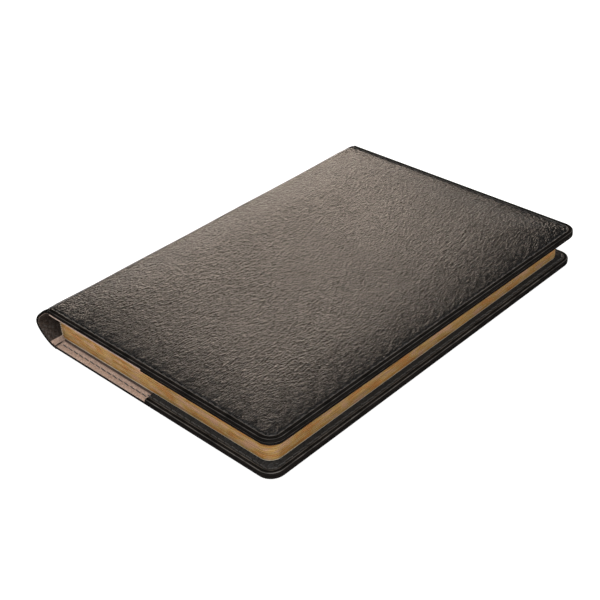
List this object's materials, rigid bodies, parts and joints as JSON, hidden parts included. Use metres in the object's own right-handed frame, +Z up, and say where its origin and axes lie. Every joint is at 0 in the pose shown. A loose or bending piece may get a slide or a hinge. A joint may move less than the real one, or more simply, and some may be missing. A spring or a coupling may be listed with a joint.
{
  "type": "prayer book",
  "caption": "Closed prayer book with gilt page edges in a padded, stitched leather slip cover; the cover opens and the book opens flat at its middle.",
  "frame": {"origin": "middle of the bounding box's bottom face, on the table plane", "axes": "+X from the spine to the fore edge, +Y from the tail to the head, +Z up through the closed book, which lies on its back cover"},
  "size_m": [0.1618, 0.22, 0.0243],
  "materials": {
    "leather": "pebble grain, low sheen",
    "thread": "matt",
    "foam": "matt",
    "stiffener": "matt",
    "lining": "smooth, matt",
    "inner_board": "smooth, matt",
    "endpaper": "matt",
    "gilt_paper": "gilt edges, satin",
    "liner": "matt",
    "band": "woven, matt"
  },
  "bodies": {
    "back_cover": {"back_cover_leather": "leather", "back_foam_pad": "foam", "back_stiffener": "stiffener", "back_lining": "lining", "back_pocket": "leather", "back_outer_stitching": "thread", "back_inner_stitching": "thread", "back_board": "inner_board", "back_pastedown": "endpaper", "back_flyleaf": "endpaper", "section_01": "gilt_paper"},
    "spine": {"spine_leather": "leather", "spine_lining": "lining", "spine_tail_stitching": "thread", "spine_head_stitching": "thread", "spine_liner": "liner", "tailband": "band", "headband": "band"},
    "upper_block": {"section_12": "gilt_paper", "front_flyleaf": "endpaper"},
    "front_cover": {"front_cover_leather": "leather", "front_foam_pad": "foam", "front_stiffener": "stiffener", "front_lining": "lining", "front_pocket": "leather", "front_outer_stitching": "thread", "front_inner_stitching": "thread", "front_board": "inner_board", "front_pastedown": "endpaper"},
    "section_02": {"section_02": "gilt_paper"},
    "section_03": {"section_03": "gilt_paper"},
    "section_04": {"section_04": "gilt_paper"},
    "section_05": {"section_05": "gilt_paper"},
    "section_06": {"section_06": "gilt_paper"},
    "section_07": {"section_07": "gilt_paper"},
    "section_08": {"section_08": "gilt_paper"},
    "section_09": {"section_09": "gilt_paper"},
    "section_10": {"section_10": "gilt_paper"},
    "section_11": {"section_11": "gilt_paper"}
  },
  "joints": [
    {"name": "middle_opening", "type": "hinge", "parent": "back_cover", "child": "spine", "pos_m": [-0.0699, 0, 0.0009], "axis": [0, 1, 0], "range_deg": [-90, 0], "deforming": ["spine_leather", "spine_lining", "spine_tail_stitching", "spine_head_stitching"]},
    {"name": "upper_block_turn", "type": "hinge", "parent": "spine", "child": "upper_block", "pos_m": [-0.0699, 0, 0.0235], "axis": [0, 1, 0], "range_deg": [-90, 0]},
    {"name": "front_cover_opening", "type": "hinge", "parent": "upper_block", "child": "front_cover", "pos_m": [-0.0699, 0, 0.0235], "axis": [0, -1, 0], "range_deg": [0, 170]},
    {"name": "section_02_slide", "type": "slide", "parent": "back_cover", "child": "section_02", "axis": [1, 0, 0], "range_m": [-0.00206, 0]},
    {"name": "section_03_slide", "type": "slide", "parent": "back_cover", "child": "section_03", "axis": [1, 0, 0], "range_m": [-0.00412, 0]},
    {"name": "section_04_slide", "type": "slide", "parent": "back_cover", "child": "section_04", "axis": [1, 0, 0], "range_m": [-0.00618, 0]},
    {"name": "section_05_slide", "type": "slide", "parent": "back_cover", "child": "section_05", "axis": [1, 0, 0], "range_m": [-0.00824, 0]},
    {"name": "section_06_slide", "type": "slide", "parent": "back_cover", "child": "section_06", "axis": [1, 0, 0], "range_m": [-0.0103, 0]},
    {"name": "section_07_slide", "type": "slide", "parent": "upper_block", "child": "section_07", "axis": [1, 0, 0], "range_m": [-0.0103, 0]},
    {"name": "section_08_slide", "type": "slide", "parent": "upper_block", "child": "section_08", "axis": [1, 0, 0], "range_m": [-0.00824, 0]},
    {"name": "section_09_slide", "type": "slide", "parent": "upper_block", "child": "section_09", "axis": [1, 0, 0], "range_m": [-0.00618, 0]},
    {"name": "section_10_slide", "type": "slide", "parent": "upper_block", "child": "section_10", "axis": [1, 0, 0], "range_m": [-0.00412, 0]},
    {"name": "section_11_slide", "type": "slide", "parent": "upper_block", "child": "section_11", "axis": [1, 0, 0], "range_m": [-0.00206, 0]}
  ],
  "couplings": [
    {"joint": "upper_block_turn", "follows": "middle_opening", "ratio": 1},
    {"joint": "section_02_slide", "follows": "middle_opening", "m_per_rad": 0.0013114},
    {"joint": "section_03_slide", "follows": "middle_opening", "m_per_rad": 0.0026229},
    {"joint": "section_04_slide", "follows": "middle_opening", "m_per_rad": 0.0039343},
    {"joint": "section_05_slide", "follows": "middle_opening", "m_per_rad": 0.0052457},
    {"joint": "section_06_slide", "follows": "middle_opening", "m_per_rad": 0.0065572},
    {"joint": "section_07_slide", "follows": "middle_opening", "m_per_rad": 0.0065572},
    {"joint": "section_08_slide", "follows": "middle_opening", "m_per_rad": 0.0052457},
    {"joint": "section_09_slide", "follows": "middle_opening", "m_per_rad": 0.0039343},
    {"joint": "section_10_slide", "follows": "middle_opening", "m_per_rad": 0.0026229},
    {"joint": "section_11_slide", "follows": "middle_opening", "m_per_rad": 0.0013114}
  ]
}
